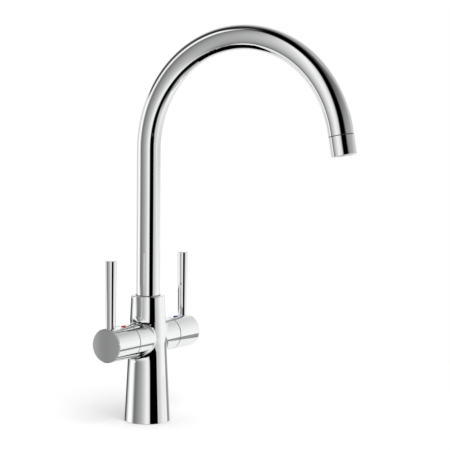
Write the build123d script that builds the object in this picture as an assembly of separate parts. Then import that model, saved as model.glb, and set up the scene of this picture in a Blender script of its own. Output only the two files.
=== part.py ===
from build123d import *
import os
from math import cos, pi, radians, sin, sqrt

# A monobloc kitchen mixer tap: conical body with two side arms, a lever handle on each arm, and a swivel
# swan-neck spout. Millimetres and degrees, +Z up, origin at the base centre on the deck. The spout reaches
# towards -Y, the hot arm points to -X and the cold arm to +X.

# Body casting
base_diameter = 46.4
collar_diameter = 33.5
hub_height = 84.7
collar_rise = 43.3
arm_reach = 34.85
base_edge_round = 0.5
collar_edge_round = 1.0
arm_edge_round = 0.3
junction_fillet = 7.0

# Play between pieces: radial in turning fits, in fixed fits, along the axis between turning faces, and on
# each side of a seal in its groove
slip_gap = 0.08
seat_gap = 0.02
face_gap = 0.05
seal_groove_play = 0.2

# Deck side: seal, supply inlets and fixing stud
gasket_width = 2.4
gasket_depth = 2.0
gasket_edge = 1.8
inlet_thread_diameter = 9.0
inlet_thread_depth = 14.0
passage_diameter = 7.0
passage_margin = 0.2
stud_hole_diameter = 6.8
stud_hole_depth = 16.0
stud_offset = 13.0

# Spout tube and its swivel in the collar
spout_diameter = 24.0
spout_wall = 1.1
riser_length = 147.5
bend_radius = 109.3
bend_angle = 169.6
outlet_straight = 3.4
tube_depth = 10.5
glide_bush_wall = 0.7
glide_bush_length = 7.5
glide_bush_lip = 0.3
spigot_length = 19.0
spigot_insert = 12.0
spigot_bore_diameter = 15.0
thrust_washer_thickness = 1.0
thrust_washer_width = 3.0
spout_seal_cord = 2.0
spout_seal_rise = 3.5
spout_seal_pitch = 5.0
retaining_screw_diameter = 5.0
retaining_screw_drop = 3.2
retaining_screw_recess = 0.6
retaining_screw_key = 2.5
dog_diameter = 2.8
dog_reach = 2.2
dog_play = 0.4

# Quarter-turn valve, measured outward along the arm
mixing_bore_diameter = 12.0
seat_wall = 3.5
seat_hole_diameter = 10.0
valve_bore_diameter = 21.0
valve_nose_diameter = 17.2
valve_chamber_diameter = 14.4
valve_nose_gap = 0.6
seat_seal_thickness = 2.2
seat_seal_lip = 0.4
fixed_disc_thickness = 3.0
turning_disc_thickness = 3.5
disc_port_inner_diameter = 3.4
disc_port_outer_diameter = 10.4
disc_port_angle = 76.0
blade_width = 3.0
blade_depth = 1.2
blade_height = 3.5
blade_end_gap = 0.9
window_width = 6.0
window_margin = 0.3
valve_flange_width = 2.5
valve_flange_thickness = 2.0
valve_hex_across_flats = 19.0
valve_hex_height = 4.0
valve_neck_diameter = 13.0
valve_neck_length = 3.0
valve_seal_cord = 1.6
valve_seal_inset = 2.0
shoulder_thickness = 1.5
shoulder_gap = 0.3
stem_diameter = 9.0
stem_seal_cord = 1.6
clip_thickness = 1.0
clip_width = 2.4
clip_groove_depth = 0.9
spline_diameter = 8.2
spline_tooth_depth = 0.5
spline_teeth = 20
spline_start_gap = 0.4
spline_length = 9.0

# Handle
handle_gap = 0.8
handle_length = 34.65
cap_wall = 2.55
cap_edge_round = 0.9
cap_crown_radius = 240.0
cap_rim_round = 0.3
flange_clearance = 1.2
spline_bush_wall = 2.4
spline_bush_inset = 0.8
glide_ring_gap = 0.1
glide_ring_edge = 0.4
lever_inset = 8.2
lever_length = 65.9
lever_root_diameter = 9.5
lever_tip_diameter = 11.1
lever_edge_round = 0.5
lever_seat_depth = 2.5
lever_stud_diameter = 6.0
lever_stud_clearance = 0.5
handle_screw_diameter = 4.0
handle_screw_recess = 0.5
handle_screw_key = 2.0
screw_key_depth = 2.0
mark_distance = 9.4
mark_length = 5.4
mark_width = 2.0
mark_depth = 0.6
mark_rise = 0.8
mark_edge_round = 0.3
mark_tilt = 10.0

# Outlet: soldered nipple, sleeve and what the sleeve clamps
nipple_length = 9.0
nipple_thread_diameter = 20.8
nipple_bore_diameter = 16.4
seam_gap = 0.8
seam_ring_edge = 0.3
sleeve_length = 18.2
sleeve_lip_thickness = 1.2
sleeve_lip_width = 0.9
sleeve_edge_round = 0.5
aerator_play = 0.1
aerator_washer_thickness = 2.0
aerator_washer_width = 2.6
jet_plate_thickness = 1.2
jet_count = 18
jet_diameter = 1.0
jet_circle_diameter = 13.0
aerator_rim = 1.9
aerator_recess = 0.4
grid_thickness = 3.0
grid_pitch = 2.3
grid_hole_diameter = 1.8

# Heights and radii that follow from the driving dimensions
body_height = hub_height + collar_rise
base_radius = base_diameter / 2
collar_radius = collar_diameter / 2
spout_radius = spout_diameter / 2
tube_inner_radius = spout_radius - spout_wall
tube_end = body_height - tube_depth
bend_height = body_height + riser_length
socket_radius = spout_radius + slip_gap
socket_floor = tube_end - spigot_length - face_gap - thrust_washer_thickness
glide_bush_radius = socket_radius + glide_bush_wall
glide_bush_floor = body_height - glide_bush_length
retaining_screw_height = tube_end - retaining_screw_drop

# Radii around the valve axis
valve_bore_radius = valve_bore_diameter / 2
valve_chamber_radius = valve_chamber_diameter / 2
valve_nose_radius = valve_nose_diameter / 2
valve_flange_radius = valve_bore_radius + valve_flange_width
cap_cavity_radius = valve_flange_radius + flange_clearance
hub_radius = cap_cavity_radius + cap_wall
stem_radius = stem_diameter / 2
stem_bore_radius = stem_radius + slip_gap
spline_radius = spline_diameter / 2
spline_bush_radius = spline_radius + spline_bush_wall

# Stations along the valve axis, outward from the middle of the tap
seat_distance = mixing_bore_diameter / 2 + seat_wall
fixed_disc_start = seat_distance + seat_seal_thickness
turning_disc_start = fixed_disc_start + fixed_disc_thickness + face_gap
turning_disc_end = turning_disc_start + turning_disc_thickness
blade_end = turning_disc_end + blade_height
shoulder_end = blade_end + shoulder_thickness
chamber_end = shoulder_end + face_gap
valve_flange_end = arm_reach + valve_flange_thickness
valve_hex_end = valve_flange_end + valve_hex_height
valve_neck_end = valve_hex_end + valve_neck_length
clip_start = valve_neck_end + face_gap
clip_end = clip_start + clip_thickness
spline_start = clip_end + spline_start_gap
spline_end = spline_start + spline_length
cap_start = arm_reach + handle_gap
cap_end = cap_start + handle_length
cap_rim_end = cap_end - cap_crown_radius + sqrt(cap_crown_radius ** 2 - hub_radius ** 2)
cavity_end = spline_start + spline_bush_inset
lever_station = cap_end - lever_inset
inlet_offset = seat_distance + passage_diameter / 2 + passage_margin

# Stations along the outlet, from the end of the tube towards the mouth
nipple_radius = nipple_thread_diameter / 2
sleeve_bore_radius = nipple_radius + seat_gap
sleeve_end = seam_gap + sleeve_length
sleeve_lip_start = sleeve_end - sleeve_lip_thickness
sleeve_lip_radius = sleeve_bore_radius - sleeve_lip_width
jet_plate_start = nipple_length + aerator_washer_thickness
aerator_start = jet_plate_start + jet_plate_thickness
aerator_end = sleeve_end - aerator_recess
aerator_radius = sleeve_bore_radius - aerator_play


def turned(*corners):
    """Solid of revolution about Z from (radius, height) corners."""
    outline = Polyline(*[(0, radius, height) for radius, height in corners], close=True)
    return revolve(make_face(outline), Axis.Z)


def rod(radius, low, high):
    """Solid cylinder about Z between two heights."""
    return turned((0, low), (radius, low), (radius, high), (0, high))


def ring(inner, outer, low, high):
    """Plain ring about Z between two radii and two heights."""
    return turned((inner, low), (outer, low), (outer, high), (inner, high))


def o_ring(outer_radius, cord, height):
    """Round-section seal about Z with the given outer radius."""
    return Pos(0, 0, height) * Torus(outer_radius - cord / 2, cord / 2)


def o_ring_groove(outer_radius, cord, height):
    """Square groove that holds such a seal with a little play."""
    half_width = cord / 2 + seal_groove_play
    return ring(outer_radius - cord - seat_gap, outer_radius + cord, height - half_width, height + half_width)


def hexagon(across_flats, low, high):
    """Hexagonal prism about Z between two heights."""
    profile = RegularPolygon(across_flats / 2, 6, major_radius=False)
    return Pos(0, 0, low) * extrude(profile, high - low)


def round_edges(solid, height, radius):
    """Round the outer circular edge that lies at a height of a turned solid."""
    rims = solid.edges().filter_by(GeomType.CIRCLE).filter_by_position(Axis.Z, height, height)
    return fillet(rims.sort_by(SortBy.LENGTH)[-1], radius)


def cone_radius(height):
    """Radius of the conical body at a height."""
    return base_radius + (collar_radius - base_radius) * height / body_height


def valve_frame(side):
    """Frame of one valve: z runs outward along the arm and y is up; side is -1 for hot, +1 for cold."""
    return Plane(origin=(0, 0, hub_height), x_dir=(0, side, 0), z_dir=(side, 0, 0))


def screw_frame():
    """Frame of the spout's retaining screw: z runs from the spout's axis out through the back."""
    return Plane(origin=(0, 0, retaining_screw_height), x_dir=(1, 0, 0), z_dir=(0, 1, 0))


def outlet_frame():
    """Frame of the outlet: origin at the end of the tube, z along the flow."""
    turn = radians(bend_angle)
    flow = Vector(0, -sin(turn), cos(turn))
    bend_end = Vector(0, bend_radius * (cos(turn) - 1), bend_height + bend_radius * sin(turn))
    return Plane(origin=bend_end + flow * outlet_straight, x_dir=(1, 0, 0), z_dir=flow)


def across_axis(station, up):
    """Frame inside a valve frame for a piece that stands square to the arm, upward or downward."""
    return Plane(origin=(0, 0, station), x_dir=(1, 0, 0), z_dir=(0, up, 0))


def body():
    """Casting with both arms, the spout socket, the valve bores and the waterways."""
    cone = turned((0, 0), (base_radius, 0), (collar_radius, body_height), (0, body_height))
    cone = round_edges(cone, 0, base_edge_round)
    cone = round_edges(cone, body_height, collar_edge_round)
    arms = round_edges(rod(hub_radius, -arm_reach, arm_reach), arm_reach, arm_edge_round)
    arms = round_edges(arms, -arm_reach, arm_edge_round)
    shell = cone + valve_frame(1) * arms
    junctions = [edge for edge in shell.edges() if edge.geom_type not in (GeomType.CIRCLE, GeomType.LINE)]
    shell = fillet(junctions, junction_fillet)

    socket = rod(socket_radius, socket_floor, body_height)
    socket += rod(glide_bush_radius, glide_bush_floor, body_height)
    socket += rod(mixing_bore_diameter / 2, hub_height - mixing_bore_diameter / 2, body_height)
    gasket_outer = base_radius - gasket_edge
    shell -= socket
    shell -= ring(gasket_outer - gasket_width, gasket_outer, 0, gasket_depth)
    shell -= Pos(0, stud_offset, 0) * rod(stud_hole_diameter / 2, 0, stud_hole_depth)
    shell -= screw_frame() * rod(retaining_screw_diameter / 2, spout_radius, base_radius)
    for side in (-1, 1):
        shell -= valve_frame(side) * rod(seat_hole_diameter / 2, 0, seat_distance)
        shell -= valve_frame(side) * rod(valve_bore_radius, seat_distance, arm_reach)
        inlet = rod(inlet_thread_diameter / 2, 0, inlet_thread_depth)
        inlet += rod(passage_diameter / 2, 0, hub_height)
        shell -= Pos(side * inlet_offset, 0, 0) * inlet
    return shell


def base_gasket():
    """Seal in the groove of the underside, squeezed flush."""
    outer = base_radius - gasket_edge - seat_gap
    return ring(outer - gasket_width + 2 * seat_gap, outer, 0, gasket_depth - seat_gap)


def spout_glide_bush():
    """Plastic bush in the collar; its lip stands proud around the riser."""
    top = body_height + glide_bush_lip
    return ring(socket_radius, glide_bush_radius - seat_gap, glide_bush_floor, top)


def spout_thrust_washer():
    """Plastic washer on the socket's floor that carries the spout."""
    top = socket_floor + thrust_washer_thickness
    return ring(spout_radius - thrust_washer_width, spout_radius, socket_floor, top)


def grub_screw(diameter, tip, head, key):
    """Headless screw about Z with a hexagon socket at its head."""
    screw = rod(diameter / 2 - seat_gap, tip, head)
    return screw - hexagon(key, head - screw_key_depth, head)


def spout_retaining_screw():
    """Grub screw at the back whose dog point runs in the groove of the spigot."""
    head = cone_radius(retaining_screw_height) - retaining_screw_recess
    tip = socket_radius + dog_play
    screw = grub_screw(retaining_screw_diameter, tip, head, retaining_screw_key)
    screw += rod(dog_diameter / 2, spout_radius - dog_reach + dog_play, tip)
    return screw_frame() * screw


def spout_tube():
    """Bent tube: riser, swan neck and a short straight end."""
    section = Circle(spout_radius) - Circle(tube_inner_radius)
    bend_axis = Axis((0, -bend_radius, bend_height), (1, 0, 0))
    tube = ring(tube_inner_radius, spout_radius, tube_end, bend_height)
    tube += revolve(Pos(0, 0, bend_height) * section, bend_axis, bend_angle)
    tube += outlet_frame() * ring(tube_inner_radius, spout_radius, -outlet_straight, 0)
    return tube


def spout_seal_heights():
    """Heights of the two seals on the spigot."""
    first = tube_end - spigot_length + spout_seal_rise
    return (first, first + spout_seal_pitch)


def spout_spigot():
    """Turned end of the tube with two seal grooves and the retaining groove."""
    bottom = tube_end - spigot_length
    top = tube_end + spigot_insert
    bore = spigot_bore_diameter / 2
    neck = tube_inner_radius - seat_gap
    spigot = turned(
        (bore, bottom), (spout_radius, bottom), (spout_radius, tube_end),
        (neck, tube_end), (neck, top), (bore, top),
    )
    for height in spout_seal_heights():
        spigot -= o_ring_groove(spout_radius, spout_seal_cord, height)
    half_width = dog_diameter / 2 + dog_play
    spigot -= ring(
        spout_radius - dog_reach, socket_radius,
        retaining_screw_height - half_width, retaining_screw_height + half_width,
    )
    return spigot


def spout_o_rings():
    """The two seals on the spigot."""
    return Compound([o_ring(spout_radius, spout_seal_cord, height) for height in spout_seal_heights()])


def outlet_nipple():
    """Threaded end soldered into the tube."""
    bore = nipple_bore_diameter / 2
    plug = tube_inner_radius - seat_gap
    nipple = turned(
        (bore, -outlet_straight), (plug, -outlet_straight), (plug, 0),
        (nipple_radius, 0), (nipple_radius, nipple_length), (bore, nipple_length),
    )
    return outlet_frame() * nipple


def outlet_ring():
    """Thin dark ring in the seam between tube and sleeve."""
    return outlet_frame() * ring(nipple_radius + seat_gap, spout_radius - seam_ring_edge, 0, seam_gap)


def aerator_sleeve():
    """Outlet sleeve, flush with the tube, with an inner lip at its mouth."""
    sleeve = turned(
        (sleeve_bore_radius, seam_gap), (spout_radius, seam_gap), (spout_radius, sleeve_end),
        (sleeve_lip_radius, sleeve_end), (sleeve_lip_radius, sleeve_lip_start),
        (sleeve_bore_radius, sleeve_lip_start),
    )
    return outlet_frame() * round_edges(sleeve, sleeve_end, sleeve_edge_round)


def aerator_washer():
    """Rubber washer under the nipple."""
    inner = aerator_radius - aerator_washer_width
    return outlet_frame() * ring(inner, aerator_radius, nipple_length, jet_plate_start)


def aerator_jet_plate():
    """Perforated plate that splits the flow into jets."""
    plate = rod(aerator_radius, jet_plate_start, aerator_start)
    jet = rod(jet_diameter / 2, jet_plate_start, aerator_start)
    for index in range(jet_count):
        plate -= Rot(0, 0, 360 * index / jet_count) * Pos(jet_circle_diameter / 2, 0, 0) * jet
    return outlet_frame() * plate


def grid_points(limit):
    """Points of a hexagonal grid inside a radius."""
    reach = int(limit / grid_pitch) + 2
    points = []
    for row in range(-reach, reach + 1):
        for column in range(-reach, reach + 1):
            x = grid_pitch * (column + row / 2)
            y = grid_pitch * row * sin(pi / 3)
            if x * x + y * y <= limit * limit:
                points.append((x, y))
    return points


def aerator_insert():
    """Plastic cup with a grid of holes at the mouth."""
    nose = sleeve_lip_radius - aerator_play
    cup = rod(aerator_radius, aerator_start, sleeve_lip_start) + rod(nose, sleeve_lip_start, aerator_end)
    bore = aerator_radius - aerator_rim
    grid_top = aerator_end - grid_thickness
    cup -= rod(bore, aerator_start, grid_top)
    hole = Circle(grid_hole_diameter / 2)
    holes = Sketch() + [Pos(x, y) * hole for x, y in grid_points(bore - grid_hole_diameter / 2)]
    cup -= Pos(0, 0, grid_top) * extrude(holes, grid_thickness)
    return outlet_frame() * cup


def valve_body(side):
    """Headwork: ported nose, threaded shank, flange, hexagon and neck, bored for the spindle."""
    thread = valve_bore_radius - seat_gap
    neck = valve_neck_diameter / 2
    nose_start = seat_distance + valve_nose_gap
    thread_start = blade_end + window_margin
    valve = turned(
        (valve_chamber_radius, nose_start), (valve_nose_radius, nose_start),
        (valve_nose_radius, thread_start), (thread, thread_start),
        (thread, arm_reach), (valve_flange_radius, arm_reach),
        (valve_flange_radius, valve_flange_end), (neck, valve_flange_end),
        (neck, valve_neck_end), (stem_bore_radius, valve_neck_end),
        (stem_bore_radius, chamber_end), (valve_chamber_radius, chamber_end),
    )
    nut = hexagon(valve_hex_across_flats, valve_flange_end, valve_hex_end)
    valve += nut - rod(stem_bore_radius, valve_flange_end, valve_hex_end)
    window_height = blade_height - 2 * window_margin
    window = Box(2 * valve_bore_radius, window_width, window_height)
    valve -= Pos(0, 0, turning_disc_end + blade_height / 2) * window
    valve -= o_ring_groove(thread, valve_seal_cord, arm_reach - valve_seal_inset)
    return valve_frame(side) * valve


def valve_gasket(side):
    """Seal of the headwork in the mouth of the arm."""
    seal = o_ring(valve_bore_radius - seat_gap, valve_seal_cord, arm_reach - valve_seal_inset)
    return valve_frame(side) * seal


def seat_seal(side):
    """Rubber ring between the seat and the fixed disc."""
    inner = seat_hole_diameter / 2 + seat_seal_lip
    return valve_frame(side) * ring(inner, valve_chamber_radius - seat_gap, seat_distance, fixed_disc_start)


def disc_ports(start, end, heading):
    """Two opposite sector ports of a ceramic disc, centred on a heading and its opposite."""
    half = radians(disc_port_angle / 2)
    reach = disc_port_outer_diameter
    sector = Polyline((0, 0), (reach, -reach * sin(half) / cos(half)), (reach, reach * sin(half) / cos(half)),
                      close=True)
    wedge = Pos(0, 0, start) * extrude(make_face(sector), end - start)
    wedges = wedge + Rot(0, 0, 180) * wedge
    band = ring(disc_port_inner_diameter / 2, disc_port_outer_diameter / 2, start, end)
    return band & (Rot(0, 0, heading) * wedges)


def fixed_disc(side):
    """Ceramic disc that stays in the nose, ports up and down."""
    end = fixed_disc_start + fixed_disc_thickness
    disc = rod(valve_chamber_radius - seat_gap, fixed_disc_start, end)
    return valve_frame(side) * (disc - disc_ports(fixed_disc_start, end, 90))


def drive_blade(width, start, end):
    """Flat blade across the valve axis, on the line of the lever."""
    half_length = valve_chamber_radius - blade_end_gap
    return Pos(0, 0, (start + end) / 2) * Box(width, 2 * half_length, end - start)


def turning_disc(side):
    """Ceramic disc that the spindle turns, ports across the fixed ones while the lever is upright."""
    disc = rod(valve_chamber_radius - slip_gap, turning_disc_start, turning_disc_end)
    disc -= disc_ports(turning_disc_start, turning_disc_end, 0)
    slot_width = blade_width + 2 * seat_gap
    slot = drive_blade(slot_width, turning_disc_end - blade_depth, turning_disc_end)
    return valve_frame(side) * (disc - slot)


def stem_seal_station():
    """Station of the spindle's seal, in the middle of the flange."""
    return arm_reach + valve_flange_thickness / 2


def spline_profile(radius):
    """Toothed outline of the spindle's spline with the given tip radius."""
    corners = []
    for index in range(2 * spline_teeth):
        reach = radius - spline_tooth_depth * (index % 2)
        angle = pi * index / spline_teeth
        corners.append((reach * cos(angle), reach * sin(angle)))
    return make_face(Polyline(*corners, close=True))


def spindle(side):
    """Valve spindle: drive blade, shoulder, sealed stem, clip groove and spline."""
    stem = drive_blade(blade_width, turning_disc_end - blade_depth + face_gap, blade_end)
    stem += rod(valve_chamber_radius - shoulder_gap, blade_end, shoulder_end)
    stem += rod(stem_radius, shoulder_end, spline_start)
    stem -= o_ring_groove(stem_radius, stem_seal_cord, stem_seal_station())
    stem -= ring(stem_radius - clip_groove_depth, stem_bore_radius, clip_start, clip_end)
    stem += Pos(0, 0, spline_start) * extrude(spline_profile(spline_radius), spline_length)
    return valve_frame(side) * stem


def spindle_o_ring(side):
    """Seal on the spindle's stem."""
    return valve_frame(side) * o_ring(stem_radius, stem_seal_cord, stem_seal_station())


def spindle_clip(side):
    """Ring that keeps the spindle in the headwork."""
    inner = stem_radius - clip_groove_depth + seat_gap
    return valve_frame(side) * ring(inner, inner + clip_width, clip_start, clip_end - seat_gap)


def spline_bush(side):
    """Plastic adaptor between the spline and the cap."""
    bush = rod(spline_bush_radius, cavity_end, spline_end)
    bush -= Pos(0, 0, cavity_end) * extrude(spline_profile(spline_radius + seat_gap), spline_end - cavity_end)
    return valve_frame(side) * bush


def glide_ring(side):
    """Thin plastic ring between the arm's end and the turning cap."""
    inner = valve_flange_radius + slip_gap
    outer = hub_radius - glide_ring_edge
    return valve_frame(side) * ring(inner, outer, arm_reach, cap_start - glide_ring_gap)


def mark_block(play):
    """Block that the colour mark fills, set into the cap's outer skin at the top and standing proud of it."""
    skin = ring(hub_radius - mark_depth - play, hub_radius + mark_rise, cap_start, cap_end)
    block = Box(mark_width + 2 * play, hub_radius, mark_length + 2 * play)
    return skin & (Pos(0, hub_radius, cap_start + mark_distance) * block)


def mark_frame(side):
    """Turn about the arm that tilts the mark to the front."""
    return Rot(0, 0, side * mark_tilt)


def index_mark(side):
    """Red or blue pip on the cap, with its top edges rounded."""
    pip = mark_block(0)
    pip = fillet(pip.faces().sort_by(Axis.Y)[-1].edges(), mark_edge_round)
    return valve_frame(side) * (mark_frame(side) * pip)


def lever_radius(height):
    """Radius of the tapered lever at a height above the surface of the cap."""
    share = (height + lever_seat_depth) / (lever_length + lever_seat_depth)
    return (lever_root_diameter + (lever_tip_diameter - lever_root_diameter) * share) / 2


def lever_stud_end():
    """Distance from the valve axis to the tip of the lever's stud."""
    return spline_bush_radius + lever_stud_clearance


def handle_screw_station():
    """Station of the grub screw, in the middle of the spline bush."""
    return (cavity_end + spline_end) / 2


def handle_cap(side):
    """Turning cap with a crowned end, the lever's socket, the bore for the spline bush and the mark's recess."""
    cap = rod(hub_radius, cap_start, cap_end)
    cap &= Pos(0, 0, cap_end - cap_crown_radius) * Rot(90, 0, 0) * Sphere(cap_crown_radius)
    cap = round_edges(cap, cap_rim_end, cap_edge_round)
    cap = round_edges(cap, cap_start, cap_rim_round)
    cap -= rod(cap_cavity_radius, cap_start, cavity_end)
    cap -= rod(spline_bush_radius + seat_gap, cavity_end, spline_end + face_gap)
    socket = rod(lever_radius(0) + seat_gap, hub_radius - lever_seat_depth, hub_radius)
    socket += rod(lever_stud_diameter / 2, lever_stud_end() - seat_gap, hub_radius)
    cap -= across_axis(lever_station, 1) * socket
    cap -= across_axis(handle_screw_station(), -1) * rod(handle_screw_diameter / 2, spline_radius, hub_radius)
    cap -= mark_frame(side) * mark_block(seat_gap)
    return valve_frame(side) * cap


def lever(side):
    """Tapered rod that stands on the cap, with a threaded stud in the cap's socket."""
    seat = hub_radius - lever_seat_depth
    top = hub_radius + lever_length
    stud = lever_stud_diameter / 2 - seat_gap
    bar = turned(
        (0, lever_stud_end()), (stud, lever_stud_end()), (stud, seat), (lever_root_diameter / 2, seat),
        (lever_tip_diameter / 2, top), (0, top),
    )
    bar = round_edges(bar, top, lever_edge_round)
    return valve_frame(side) * (across_axis(lever_station, 1) * bar)


def handle_screw(side):
    """Grub screw in the underside of the cap, tight on the spline bush."""
    tip = spline_bush_radius + seat_gap
    screw = grub_screw(handle_screw_diameter, tip, hub_radius - handle_screw_recess, handle_screw_key)
    return valve_frame(side) * (across_axis(handle_screw_station(), -1) * screw)


def main():
    """Build every piece and write one STEP file for each."""
    single_pieces = (
        body, base_gasket, spout_glide_bush, spout_thrust_washer, spout_retaining_screw,
        spout_tube, spout_spigot, spout_o_rings, outlet_nipple, outlet_ring,
        aerator_sleeve, aerator_washer, aerator_jet_plate, aerator_insert,
    )
    paired_pieces = (
        valve_body, valve_gasket, seat_seal, fixed_disc, glide_ring,
        turning_disc, spindle, spindle_o_ring, spindle_clip, spline_bush,
        handle_cap, lever, index_mark, handle_screw,
    )
    os.makedirs("parts", exist_ok=True)
    for piece in single_pieces:
        export_step(piece(), f"parts/{piece.__name__}.step")
    for piece in paired_pieces:
        for supply, side in (("hot", -1), ("cold", 1)):
            export_step(piece(side), f"parts/{supply}_{piece.__name__}.step")


main()
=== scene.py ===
import math

import bpy
import numpy as np
from mathutils import Matrix, Vector

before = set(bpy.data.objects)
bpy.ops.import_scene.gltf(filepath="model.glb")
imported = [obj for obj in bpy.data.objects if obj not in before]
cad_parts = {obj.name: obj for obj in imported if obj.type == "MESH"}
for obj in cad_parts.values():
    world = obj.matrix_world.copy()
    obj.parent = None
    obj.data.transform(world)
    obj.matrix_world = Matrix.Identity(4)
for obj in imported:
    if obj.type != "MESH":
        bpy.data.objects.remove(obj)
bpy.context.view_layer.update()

# Camera, placed as the photograph was taken. Angles in degrees, lengths in metres, picture in pixels.
camera_azimuth = -57.558
camera_elevation = 4.08
camera_distance = 1.4186
camera_roll = 0.544
camera_clip = (0.05, 100.0)
aim_right = 0.0773
aim_height = 0.1997
picture_width = 450
focal_length = 1406.2
sensor_width = 36.0

# Studio. The dome carries the panels that polished metal shows. The floor is the pale ground, which
# turns into the white backdrop between the two distances of its fade.
dome_radius = 14.0
dome_step = 1
floor_radius = 6.0
floor_sides = 96
floor_albedo = 0.95
floor_grain = 60.0
floor_shade = 0.992
floor_roughness = 0.9
floor_fade = (0.05, 0.50)
fill_level = 0.86
key_power = 55.0
key_size = 2.2
key_place = (-1.3, -1.9, 2.6)
key_aim = (0.0, 0.0, 0.15)

# Finishes. Colours are linear, a shade is the darker share of a colour, grains are noise scales and
# depths are in metres. The tint stops are where a pattern has the shaded and the full colour.
tint_stops = (0.3, 0.7)
chrome_colour = (0.925, 0.93, 0.935)
chrome_haze_grain = 38.0
chrome_shade = 0.985
chrome_wipe_grain = 160.0
chrome_roughness = (0.006, 0.022)
# Machined metals: colour and roughness.
turned_metals = {
    "brass": ((0.72, 0.50, 0.22), 0.26),
    "steel": ((0.58, 0.58, 0.57), 0.24),
}
tool_mark_grain = 900.0
tool_mark_stretch = (1.0, 1.0, 6.0)
tool_mark_depth = 0.00002
turned_stain_grain = 60.0
turned_shade = 0.82
turned_roughness_change = (-0.08, 0.10)
# Moulded and pressed materials: colour, roughness, grain and depth of the grain.
moulded_materials = {
    "black_rubber": ((0.022, 0.022, 0.023), 0.62, 1400.0, 0.00003),
    "dark_plastic": ((0.030, 0.031, 0.033), 0.34, 1800.0, 0.00001),
    "white_plastic": ((0.78, 0.78, 0.75), 0.32, 1600.0, 0.00001),
    "ceramic": ((0.82, 0.80, 0.76), 0.18, 2200.0, 0.000004),
}
moulded_cloud_grain = 90.0
moulded_shade = 0.86
moulded_roughness_change = (-0.06, 0.08)
enamel_colours = {
    "red_enamel": (0.47, 0.031, 0.029),
    "blue_enamel": (0.055, 0.085, 0.28),
}
enamel_grain = 700.0
enamel_shade = 0.8
enamel_roughness = (0.34, 0.46)
enamel_specular = 0.12
enamel_depth = 0.00002

# Panels of the studio, painted on the dome one over another. Azimuth is counted from the camera, to
# the right in the picture, and 180 is behind the object. Each edge is a pair: where it starts to show
# and where it is full, and on the right and at the top where it starts to end and where it has ended.
# Name, left edge, right edge, bottom edge, top edge, (azimuth, brightness) stops, fade upwards.
black = [(0, 0.0)]
studio_panels = [
    ("right_back_wall", (98, 122), (150, 176), (2, 3), (60, 84), [(110, 0.77), (170, 0.96)], 0.22),
    ("ceiling_flag", (-200, -118), (24, 110), (58, 76), (95, 99), black, 0.0),
    ("rear_left_flag", (-178, -122), (-130, -96), (12, 16), (60, 74), [(0, 0.155)], 0.0),
    ("upper_rear_left_flag", (-150, -130), (-116, -96), (28, 56), (66, 80), [(0, 0.14)], 0.0),
    ("rear_left_wall", (-172, -150), (-128, -112), (-11, -8), (10, 16),
     [(-150, 0.86), (-135, 0.81)], 0.0),
    ("right_wall", (18, 26), (100, 122), (7, 14), (66, 82),
     [(30, 0.0), (35, 0.14), (39, 0.42), (46, 0.57), (58, 0.62), (80, 0.665), (107, 0.69)], 0.53),
    ("upper_right_wall", (82, 106), (140, 170), (36, 60), (66, 84), [(90, 0.70)], 0.2),
    ("upper_black_flag", (10, 20), (28, 66), (34, 64), (80, 90), black, 0.0),
    ("softbox_surround", (-86, -76), (-12, 2), (44, 50), (95, 99), black, 0.0),
    ("black_flag", (-25, -8), (24, 30), (1.8, 3.2), (72, 85), black, 0.0),
    ("low_right_wall", (40, 50), (170, 190), (-66, -44), (1.8, 3.2),
     [(56, 0.76), (72, 0.81), (88, 0.925), (120, 0.94), (160, 0.93)], 0.0),
    ("low_rear_wall", (168, 182), (228, 240), (-40, -26), (-12, -8),
     [(176, 0.86), (238, 0.92)], 0.0),
    ("strip_light", (-114, -106), (-88, -74), (-13, -10), (1.8, 3.2), [(0, 1.0)], 0.0),
    ("low_black_flag", (0, 10), (41, 53), (-95, -90), (-13, -9.8), black, 0.0),
    ("horizon_black_flag", (2, 12), (46, 55), (-13, -9.8), (1.8, 3.2), black, 0.0),
    ("deep_black_flag", (20, 30), (42, 104), (-95, -90), (-60, -30), black, 0.0),
    ("under_shade", (-36, 6), (30, 40), (-95, -90), (-92, -62), black, 0.0),
    ("rear_shade", (-197, -152), (-140, -124), (-99, -95), (-54, -27), black, 0.0),
    ("left_shade", (-150, -140), (-112, -92), (-99, -95), (-70, -52), black, 0.0),
    ("rear_left_shade", (-164, -148), (-124, -108), (-99, -95), (-50, -42), black, 0.0),
    ("back_shade", (142, 185), (200, 210), (-99, -95), (-78, -50), black, 0.0),
    ("right_shade", (20, 80), (150, 180), (-99, -95), (-88, -64), black, 0.0),
]
# Brightness of the bare wall behind the panels by elevation, from the ground to the ceiling.
wall_levels = [
    (-86, 0.05), (-75, 0.30), (-66, 0.66), (-55, 0.80), (-35, 0.90), (0, 0.95),
    (22, 0.97), (38, 0.92), (62, 0.61), (74, 0.43), (82, 0.20), (90, 0.05),
]
# A tall wall of light close by on the left, square to this azimuth, with the brightness along it. Its
# pattern leans sideways with height, by (height, shift) stops: one lean for its rear part and one for
# its front end, each with its share along the wall. The lower and upper ends fade.
left_wall_azimuth = -55.0
left_wall_distance = 0.18
left_wall_step = (0.01, 0.02)
left_wall_levels = [
    (-0.18, 1.0), (-0.115, 0.97), (-0.065, 0.47), (-0.045, 0.45), (0.0, 0.55),
    (0.05, 0.635), (0.15, 0.81), (0.25, 0.945), (0.30, 0.94), (0.38, 0.875),
    (0.43, 0.79), (0.47, 0.58), (0.52, 0.14), (0.56, 0.0), (0.62, 0.0),
]
left_wall_lean = [
    (-0.16, -0.12), (-0.06, 0.032), (0.10, 0.032), (0.12, 0.0), (0.42, 0.0), (0.86, 0.123),
]
left_wall_lean_share = [(-0.05, 1.0), (0.20, 0.0)]
left_wall_end_lean = [(0.0, 0.05), (0.08, 0.0)]
left_wall_end_share = [(0.30, 0.0), (0.45, 1.0)]
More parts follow.
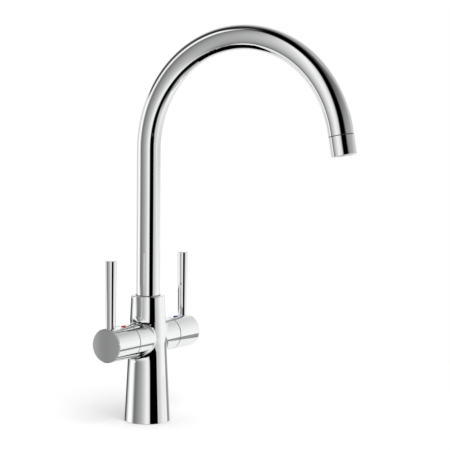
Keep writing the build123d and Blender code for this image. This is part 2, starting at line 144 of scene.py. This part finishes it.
left_wall_fade = [(-0.66, 0.0), (-0.50, 0.75), (-0.30, 1.0), (0.70, 1.0), (0.86, 0.0)]
# Curved upright screens round the object: name, radius, heights, and (azimuth, brightness) stops.
left_edge_levels = [
    (200, 0.55), (205, 0.28), (220, 0.28), (229, 0.35), (237, 0.54), (247, 0.78), (257, 0.96),
]
screens = [
    ("low_left_screen", 0.11, (-0.03, 0.05), left_edge_levels),
    ("high_left_screen", 0.11, (0.088, 0.1165), left_edge_levels),
    ("right_edge_screen", 0.295, (-0.055, 0.05),
     [(121, 0.62), (127, 0.525), (140, 0.60), (160, 0.85)]),
    ("cone_flag", 0.10, (-0.10, 0.088), [(17, 0.0), (52, 0.0)]),
    ("lever_flag", 0.215, (0.06, 0.16), [(29, 0.0), (41, 0.0)]),
]
# A curved screen behind the right side, with its brightness by height.
right_screen_azimuths = (92, 156)
right_screen_step = 4
right_screen_radius = 0.30
right_screen_levels = [
    (0.015, 0.97), (0.12, 0.945), (0.16, 0.915), (0.21, 0.885), (0.25, 0.845), (0.29, 0.805),
    (0.345, 0.73),
]
# A grey strip to the right of the object, below the level of the floor.
front_card_level = 0.54
front_card_x = (0.22, 0.60)
front_card_y = (-0.325, -0.205)
front_card_height = -0.108
# A small card before the near end face, with its brightness from front to back.
end_card_distance = 0.09
end_card_heights = (0.0625, 0.0985)
end_card_levels = [
    (-0.012, 0.59), (0.007, 0.55), (0.015, 0.535), (0.023, 0.555), (0.032, 0.63), (0.048, 0.68),
]
# A small black card close under the top of the bend, so that the bend's inside doesn't show the tap
# itself: its height, and its half width from end to end by (y, half width) stops.
bend_flag_height = 0.35
bend_flag_widths = [(-0.122, 0.003), (-0.106, 0.0155), (-0.08, 0.012), (-0.062, 0.004)]


def smooth(value, start, end):
    """0 before start, 1 after end, with a soft change between them."""
    share = np.clip((value - start) / (end - start), 0.0, 1.0)
    return share * share * (3.0 - 2.0 * share)


def along(stops, value):
    """The level at value on a line through (place, level) stops."""
    places, levels = zip(*stops)
    return np.interp(value, places, levels)


def shown(level):
    """Linear brightness of a panel that polished plating shows as this level on an sRGB display."""
    level = np.asarray(level)
    linear = np.where(level <= 0.04045, level / 12.92, ((level + 0.055) / 1.055) ** 2.4)
    return linear / chrome_colour[1]


def studio_level(azimuth, elevation):
    """Linear brightness of the studio in each direction."""
    level = along(wall_levels, elevation)
    for _, left, right, bottom, top, stops, fade in studio_panels:
        middle = (left[0] + right[1]) / 2
        place = middle + (azimuth - middle + 180.0) % 360.0 - 180.0
        across = smooth(place, *left) * (1.0 - smooth(place, *right))
        cover = across * smooth(elevation, *bottom) * (1.0 - smooth(elevation, *top))
        height = np.clip((elevation - bottom[1]) / (top[0] - bottom[1]), 0.0, 1.0)
        level = level + (along(stops, place) * (1.0 - fade * height) - level) * cover
    return shown(level)


def new_material(name):
    material = bpy.data.materials.new(name)
    material.use_nodes = True
    tree = material.node_tree
    return material, tree, tree.nodes["Principled BSDF"]


def add(tree, kind, **settings):
    node = tree.nodes.new(kind)
    for name, value in settings.items():
        setattr(node, name, value)
    return node


def noise(tree, scale, detail=2.0, stretch=None):
    """Noise in object space, in metres, so that it sits on the piece and moves with it."""
    place = add(tree, "ShaderNodeTexCoord")
    source = place.outputs["Object"]
    if stretch is not None:
        mapping = add(tree, "ShaderNodeMapping")
        mapping.inputs["Scale"].default_value = stretch
        tree.links.new(source, mapping.inputs["Vector"])
        source = mapping.outputs["Vector"]
    texture = add(tree, "ShaderNodeTexNoise")
    texture.inputs["Scale"].default_value = scale
    texture.inputs["Detail"].default_value = detail
    tree.links.new(source, texture.inputs["Vector"])
    return texture.outputs["Fac"]


def spread(tree, source, low, high):
    """Maps a 0 to 1 pattern onto low to high."""
    node = add(tree, "ShaderNodeMapRange")
    node.inputs["To Min"].default_value = low
    node.inputs["To Max"].default_value = high
    tree.links.new(source, node.inputs["Value"])
    return node.outputs["Result"]


def tinted(tree, source, colour, shade):
    """Colours a 0 to 1 pattern, from the shaded colour to the full one."""
    ramp = add(tree, "ShaderNodeValToRGB")
    for element, position, share in zip(ramp.color_ramp.elements, tint_stops, (shade, 1.0)):
        element.position = position
        element.color = (*(channel * share for channel in colour), 1.0)
    tree.links.new(source, ramp.inputs["Fac"])
    return ramp.outputs["Color"]


def coat(tree, shader, tint, gloss):
    """Gives a shader its colour and its roughness."""
    tree.links.new(tint, shader.inputs["Base Color"])
    tree.links.new(gloss, shader.inputs["Roughness"])


def bumped(tree, shader, source, distance):
    bump = add(tree, "ShaderNodeBump")
    bump.inputs["Distance"].default_value = distance
    bump.inputs["Strength"].default_value = 1.0
    tree.links.new(source, bump.inputs["Height"])
    tree.links.new(bump.outputs["Normal"], shader.inputs["Normal"])


def chrome(name):
    """Bright plating: a mirror with faint wipe marks in its gloss."""
    material, tree, shader = new_material(name)
    shader.inputs["Metallic"].default_value = 1.0
    haze = noise(tree, chrome_haze_grain, detail=4.0)
    wipes = noise(tree, chrome_wipe_grain, detail=5.0)
    coat(tree, shader, tinted(tree, haze, chrome_colour, chrome_shade),
         spread(tree, wipes, *chrome_roughness))
    return material


def turned_metal(name, colour, roughness):
    """Bare machined metal with fine tool marks."""
    material, tree, shader = new_material(name)
    shader.inputs["Metallic"].default_value = 1.0
    marks = noise(tree, tool_mark_grain, detail=3.0, stretch=tool_mark_stretch)
    stain = noise(tree, turned_stain_grain, detail=3.0)
    coat(tree, shader, tinted(tree, stain, colour, turned_shade),
         spread(tree, marks, *(roughness + change for change in turned_roughness_change)))
    bumped(tree, shader, marks, tool_mark_depth)
    return material


def moulded(name, colour, roughness, grain, depth):
    """Moulded plastic, rubber or pressed ceramic with a fine even grain."""
    material, tree, shader = new_material(name)
    texture = noise(tree, grain, detail=3.0)
    cloud = noise(tree, moulded_cloud_grain)
    coat(tree, shader, tinted(tree, cloud, colour, moulded_shade),
         spread(tree, texture, *(roughness + change for change in moulded_roughness_change)))
    bumped(tree, shader, texture, depth)
    return material


def enamel(name, colour):
    """Poured glossy enamel, slightly uneven in depth."""
    material, tree, shader = new_material(name)
    depth = noise(tree, enamel_grain)
    coat(tree, shader, tinted(tree, depth, colour, enamel_shade),
         spread(tree, depth, *enamel_roughness))
    shader.inputs["Specular IOR Level"].default_value = enamel_specular
    bumped(tree, shader, depth, enamel_depth)
    return material


def dress_nodes():
    """Gives each CAD node the finish of its material slot."""
    finishes = {"chrome_plate": chrome("chrome_plate")}
    for name, values in turned_metals.items():
        finishes[name] = turned_metal(name, *values)
    for name, values in moulded_materials.items():
        finishes[name] = moulded(name, *values)
    for name, colour in enamel_colours.items():
        finishes[name] = enamel(name, colour)
    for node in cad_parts.values():
        for slot in node.material_slots:
            slot.material = finishes[slot.material.name.split(".")[0]]


def picture_axes():
    """Level directions as the camera has them: towards it, and to the right in the picture."""
    turn = math.radians(camera_azimuth)
    toward = Vector((math.sin(turn), -math.cos(turn), 0.0))
    right = Vector((math.cos(turn), math.sin(turn), 0.0))
    return toward, right


def place_camera():
    toward, right = picture_axes()
    lift = math.radians(camera_elevation)
    back = toward * math.cos(lift) + Vector((0.0, 0.0, math.sin(lift)))
    up = back.cross(right)
    roll = math.radians(camera_roll)
    across = right * math.cos(roll) + up * math.sin(roll)
    upright = up * math.cos(roll) - right * math.sin(roll)
    data = bpy.data.cameras.new("camera")
    data.sensor_width = sensor_width
    data.lens = focal_length / picture_width * sensor_width
    data.clip_start, data.clip_end = camera_clip
    camera = bpy.data.objects.new("camera", data)
    place = right * aim_right + Vector((0.0, 0.0, aim_height)) + back * camera_distance
    turned = Matrix((across, upright, back)).transposed().to_4x4()
    camera.matrix_world = Matrix.Translation(place) @ turned
    bpy.context.scene.collection.objects.link(camera)
    bpy.context.scene.camera = camera


def new_mesh_object(name, vertices, faces):
    mesh = bpy.data.meshes.new(name)
    mesh.from_pydata(vertices, [], faces)
    mesh.validate()
    piece = bpy.data.objects.new(name, mesh)
    bpy.context.scene.collection.objects.link(piece)
    return piece


def build_dome():
    """A wide dome with the studio's panels, which only polished surfaces see."""
    toward, right = (np.array(way) for way in picture_axes())
    across = np.arange(-180, 180, dome_step)
    upwards = np.arange(-90, 91, dome_step)
    azimuth, elevation = (grid.ravel() for grid in np.meshgrid(across, upwards))
    turn = np.radians(azimuth)[:, None]
    lift = np.radians(elevation)[:, None]
    level_way = np.cos(turn) * toward + np.sin(turn) * right
    vertices = dome_radius * (np.cos(lift) * level_way + np.sin(lift) * np.array((0.0, 0.0, 1.0)))
    columns = len(across)
    faces = []
    for low in range(0, columns * (len(upwards) - 1), columns):
        high = low + columns
        for column in range(columns):
            after = (column + 1) % columns
            faces.append((low + column, low + after, high + after, high + column))
    dome = new_mesh_object("studio_dome", vertices.tolist(), faces)
    light_panels(dome, studio_level(azimuth, elevation))


def light_panels(card, levels):
    """Gives a card its brightness, point by point, for polished surfaces alone."""
    attribute = card.data.attributes.new("level", "FLOAT", "POINT")
    attribute.data.foreach_set("value", levels)
    material = bpy.data.materials.get("studio_panels")
    if material is None:
        material = bpy.data.materials.new("studio_panels")
        material.use_nodes = True
        tree = material.node_tree
        tree.nodes.clear()
        read = add(tree, "ShaderNodeAttribute", attribute_name="level")
        glow = add(tree, "ShaderNodeEmission")
        output = add(tree, "ShaderNodeOutputMaterial")
        tree.links.new(read.outputs["Fac"], glow.inputs["Strength"])
        tree.links.new(glow.outputs["Emission"], output.inputs["Surface"])
    card.data.materials.append(material)
    card.visible_camera = False
    card.visible_diffuse = False
    card.visible_transmission = False
    card.visible_shadow = False


def heading(azimuth):
    """Level direction at an azimuth counted from the camera."""
    toward, right = picture_axes()
    turn = math.radians(azimuth)
    return toward * math.cos(turn) + right * math.sin(turn)


def build_grid_card(name, place, across, upwards, level):
    """A card of light as a grid: place and level are functions of the two coordinates."""
    points = [(a, b) for b in upwards for a in across]
    vertices = [place(a, b) for a, b in points]
    levels = [level(a, b) for a, b in points]
    count = len(across)
    rows = range(len(upwards) - 1)
    corners = [row * count + column for row in rows for column in range(count - 1)]
    faces = [(corner, corner + 1, corner + count + 1, corner + count) for corner in corners]
    light_panels(new_mesh_object(name, vertices, faces), shown(levels))


def build_left_wall():
    outward = heading(left_wall_azimuth) * left_wall_distance
    sideways = heading(left_wall_azimuth + 90.0)

    def place(along_wall, height):
        return outward + sideways * along_wall + Vector((0.0, 0.0, height))

    def level(along_wall, height):
        lean = along(left_wall_lean, height) * along(left_wall_lean_share, along_wall)
        end_lean = along(left_wall_end_lean, height) * along(left_wall_end_share, along_wall)
        pattern = along(left_wall_levels, along_wall - (lean + end_lean))
        return pattern * along(left_wall_fade, height)

    def steps(stops, step):
        return np.arange(stops[0][0], stops[-1][0] + step / 10, step)

    build_grid_card("left_wall", place, steps(left_wall_levels, left_wall_step[0]),
                    steps(left_wall_fade, left_wall_step[1]), level)


def on_ring(radius):
    """Places on an upright round screen, by azimuth and height."""
    return lambda azimuth, height: heading(azimuth) * radius + Vector((0.0, 0.0, height))


def build_screens():
    for name, radius, heights, stops in screens:
        azimuths = np.arange(stops[0][0], stops[-1][0] + 1)
        build_grid_card(name, on_ring(radius), azimuths, heights, lambda a, b: along(stops, a))
    azimuths = range(right_screen_azimuths[0], right_screen_azimuths[1] + 1, right_screen_step)
    heights = [height for height, _ in right_screen_levels]
    build_grid_card("right_screen", on_ring(right_screen_radius), azimuths, heights,
                    lambda a, b: along(right_screen_levels, b))


def build_small_cards():
    build_grid_card("front_card", lambda x, y: Vector((x, y, front_card_height)),
                    front_card_x, front_card_y, lambda x, y: front_card_level)
    depths = [depth for depth, _ in bend_flag_widths]
    build_grid_card("bend_flag",
                    lambda side, y: Vector((side * along(bend_flag_widths, y), y, bend_flag_height)),
                    (-1.0, 1.0), depths, lambda side, y: 0.0)
    depths = [depth for depth, _ in end_card_levels]
    build_grid_card("end_card", lambda y, z: Vector((-end_card_distance, y, z)),
                    depths, end_card_heights, lambda y, z: along(end_card_levels, y))


def build_floor():
    """A pale round floor that keeps the object's shadow near it and turns into white further out.

    Polished surfaces show the lower half of the dome in its place.
    """
    turns = [2.0 * math.pi * step / floor_sides for step in range(floor_sides)]
    vertices = [(floor_radius * math.cos(turn), floor_radius * math.sin(turn), 0.0) for turn in turns]
    floor = new_mesh_object("floor", vertices, [tuple(range(floor_sides))])
    material, tree, shader = new_material("pale_floor")
    grain = noise(tree, floor_grain, detail=4.0)
    pale = (floor_albedo, floor_albedo, floor_albedo)
    tree.links.new(tinted(tree, grain, pale, floor_shade), shader.inputs["Base Color"])
    shader.inputs["Roughness"].default_value = floor_roughness
    shader.inputs["Specular IOR Level"].default_value = 0.0
    place = add(tree, "ShaderNodeTexCoord")
    distance = add(tree, "ShaderNodeVectorMath", operation="LENGTH")
    tree.links.new(place.outputs["Object"], distance.inputs[0])
    fade = add(tree, "ShaderNodeMapRange", interpolation_type="SMOOTHSTEP")
    fade.inputs["From Min"].default_value, fade.inputs["From Max"].default_value = floor_fade
    tree.links.new(distance.outputs["Value"], fade.inputs["Value"])
    white = add(tree, "ShaderNodeEmission")
    blend = add(tree, "ShaderNodeMixShader")
    tree.links.new(fade.outputs["Result"], blend.inputs["Fac"])
    tree.links.new(shader.outputs["BSDF"], blend.inputs[1])
    tree.links.new(white.outputs["Emission"], blend.inputs[2])
    tree.links.new(blend.outputs["Shader"], tree.nodes["Material Output"].inputs["Surface"])
    floor.data.materials.append(material)
    floor.visible_glossy = False


def light_studio():
    """White backdrop for the camera and polished surfaces, an even fill, and one large soft lamp."""
    world = bpy.data.worlds.new("studio")
    bpy.context.scene.world = world
    world.use_nodes = True
    tree = world.node_tree
    path = add(tree, "ShaderNodeLightPath")
    seen = path.outputs["Is Camera Ray"]
    for ray in ("Is Glossy Ray", "Is Transmission Ray"):
        either = add(tree, "ShaderNodeMath", operation="MAXIMUM")
        tree.links.new(seen, either.inputs[0])
        tree.links.new(path.outputs[ray], either.inputs[1])
        seen = either.outputs["Value"]
    background = tree.nodes["Background"]
    background.inputs["Color"].default_value = (1.0, 1.0, 1.0, 1.0)
    tree.links.new(spread(tree, seen, fill_level, 1.0), background.inputs["Strength"])
    data = bpy.data.lights.new("key", "AREA")
    data.energy = key_power
    data.size = key_size
    key = bpy.data.objects.new("key", data)
    key.location = key_place
    way = Vector(key_aim) - Vector(key_place)
    key.rotation_euler = way.to_track_quat("-Z", "Y").to_euler()
    key.visible_glossy = False
    bpy.context.scene.collection.objects.link(key)


dress_nodes()
place_camera()
build_dome()
build_left_wall()
build_screens()
build_small_cards()
build_floor()
light_studio()
bpy.context.scene.view_settings.view_transform = "Standard"
